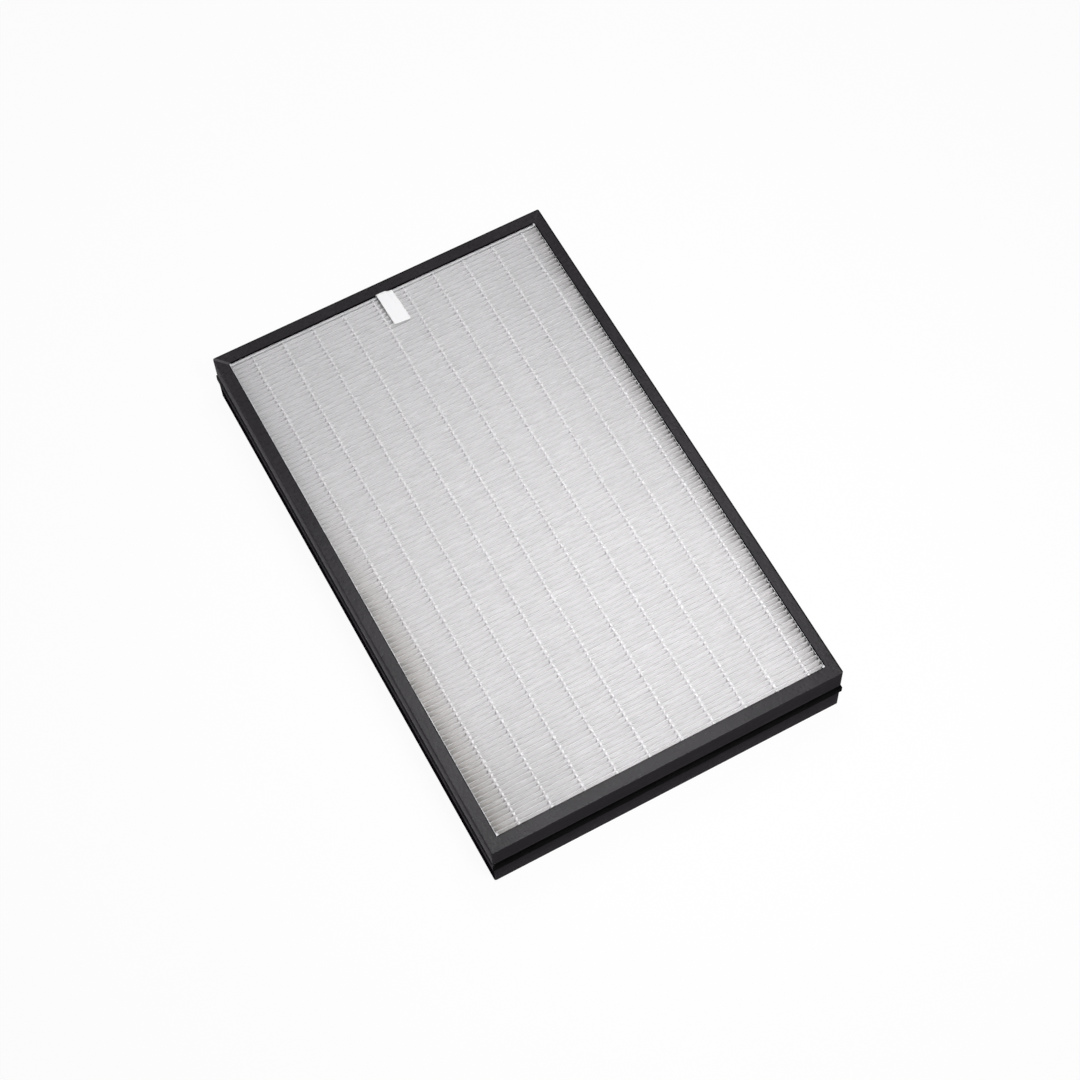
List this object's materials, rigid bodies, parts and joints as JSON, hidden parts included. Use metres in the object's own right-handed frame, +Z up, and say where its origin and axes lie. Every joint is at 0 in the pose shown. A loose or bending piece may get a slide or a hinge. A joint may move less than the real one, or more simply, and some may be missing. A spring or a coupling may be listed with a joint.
{
  "type": "air purifier filter",
  "caption": "Flat framed filter cartridge: white pleated filter paper with a small pull tab in a dark frame, over a foam gasket and a carbon tier.",
  "frame": {"origin": "centre of the underside of the lower frame", "axes": "+X across the short side, +Y along the long side towards the pull tab, +Z up out of the pleats"},
  "size_m": [0.2766, 0.4466, 0.052],
  "materials": {
    "frame_board": "matte",
    "gasket_foam": "matte foam",
    "filter_paper": "matte fibre",
    "spacer_glue": "satin",
    "seal_glue": "satin",
    "tab_cloth": "matte",
    "net": "matte net",
    "carbon": "matte granular"
  },
  "bodies": {
    "root": {"upper_frame_left": "frame_board", "lower_frame_left": "frame_board", "gasket_left": "gasket_foam", "edge_seal_left": "seal_glue", "upper_frame_right": "frame_board", "lower_frame_right": "frame_board", "gasket_right": "gasket_foam", "edge_seal_right": "seal_glue", "upper_frame_near": "frame_board", "lower_frame_near": "frame_board", "gasket_near": "gasket_foam", "edge_seal_near": "seal_glue", "upper_frame_far": "frame_board", "lower_frame_far": "frame_board", "gasket_far": "gasket_foam", "edge_seal_far": "seal_glue", "side_band_left": "seal_glue", "side_band_right": "seal_glue", "end_seal_near": "seal_glue", "end_seal_far": "seal_glue", "filter_paper": "filter_paper", "upper_bead_01": "spacer_glue", "lower_bead_01": "spacer_glue", "upper_bead_02": "spacer_glue", "lower_bead_02": "spacer_glue", "upper_bead_03": "spacer_glue", "lower_bead_03": "spacer_glue", "upper_bead_04": "spacer_glue", "lower_bead_04": "spacer_glue", "upper_bead_05": "spacer_glue", "lower_bead_05": "spacer_glue", "upper_bead_06": "spacer_glue", "lower_bead_06": "spacer_glue", "upper_bead_07": "spacer_glue", "lower_bead_07": "spacer_glue", "upper_bead_08": "spacer_glue", "lower_bead_08": "spacer_glue", "upper_bead_09": "spacer_glue", "lower_bead_09": "spacer_glue", "upper_bead_10": "spacer_glue", "lower_bead_10": "spacer_glue", "pull_tab": "tab_cloth", "lower_net": "net", "upper_net": "net", "carbon_mat": "carbon"}
  },
  "joints": []
}
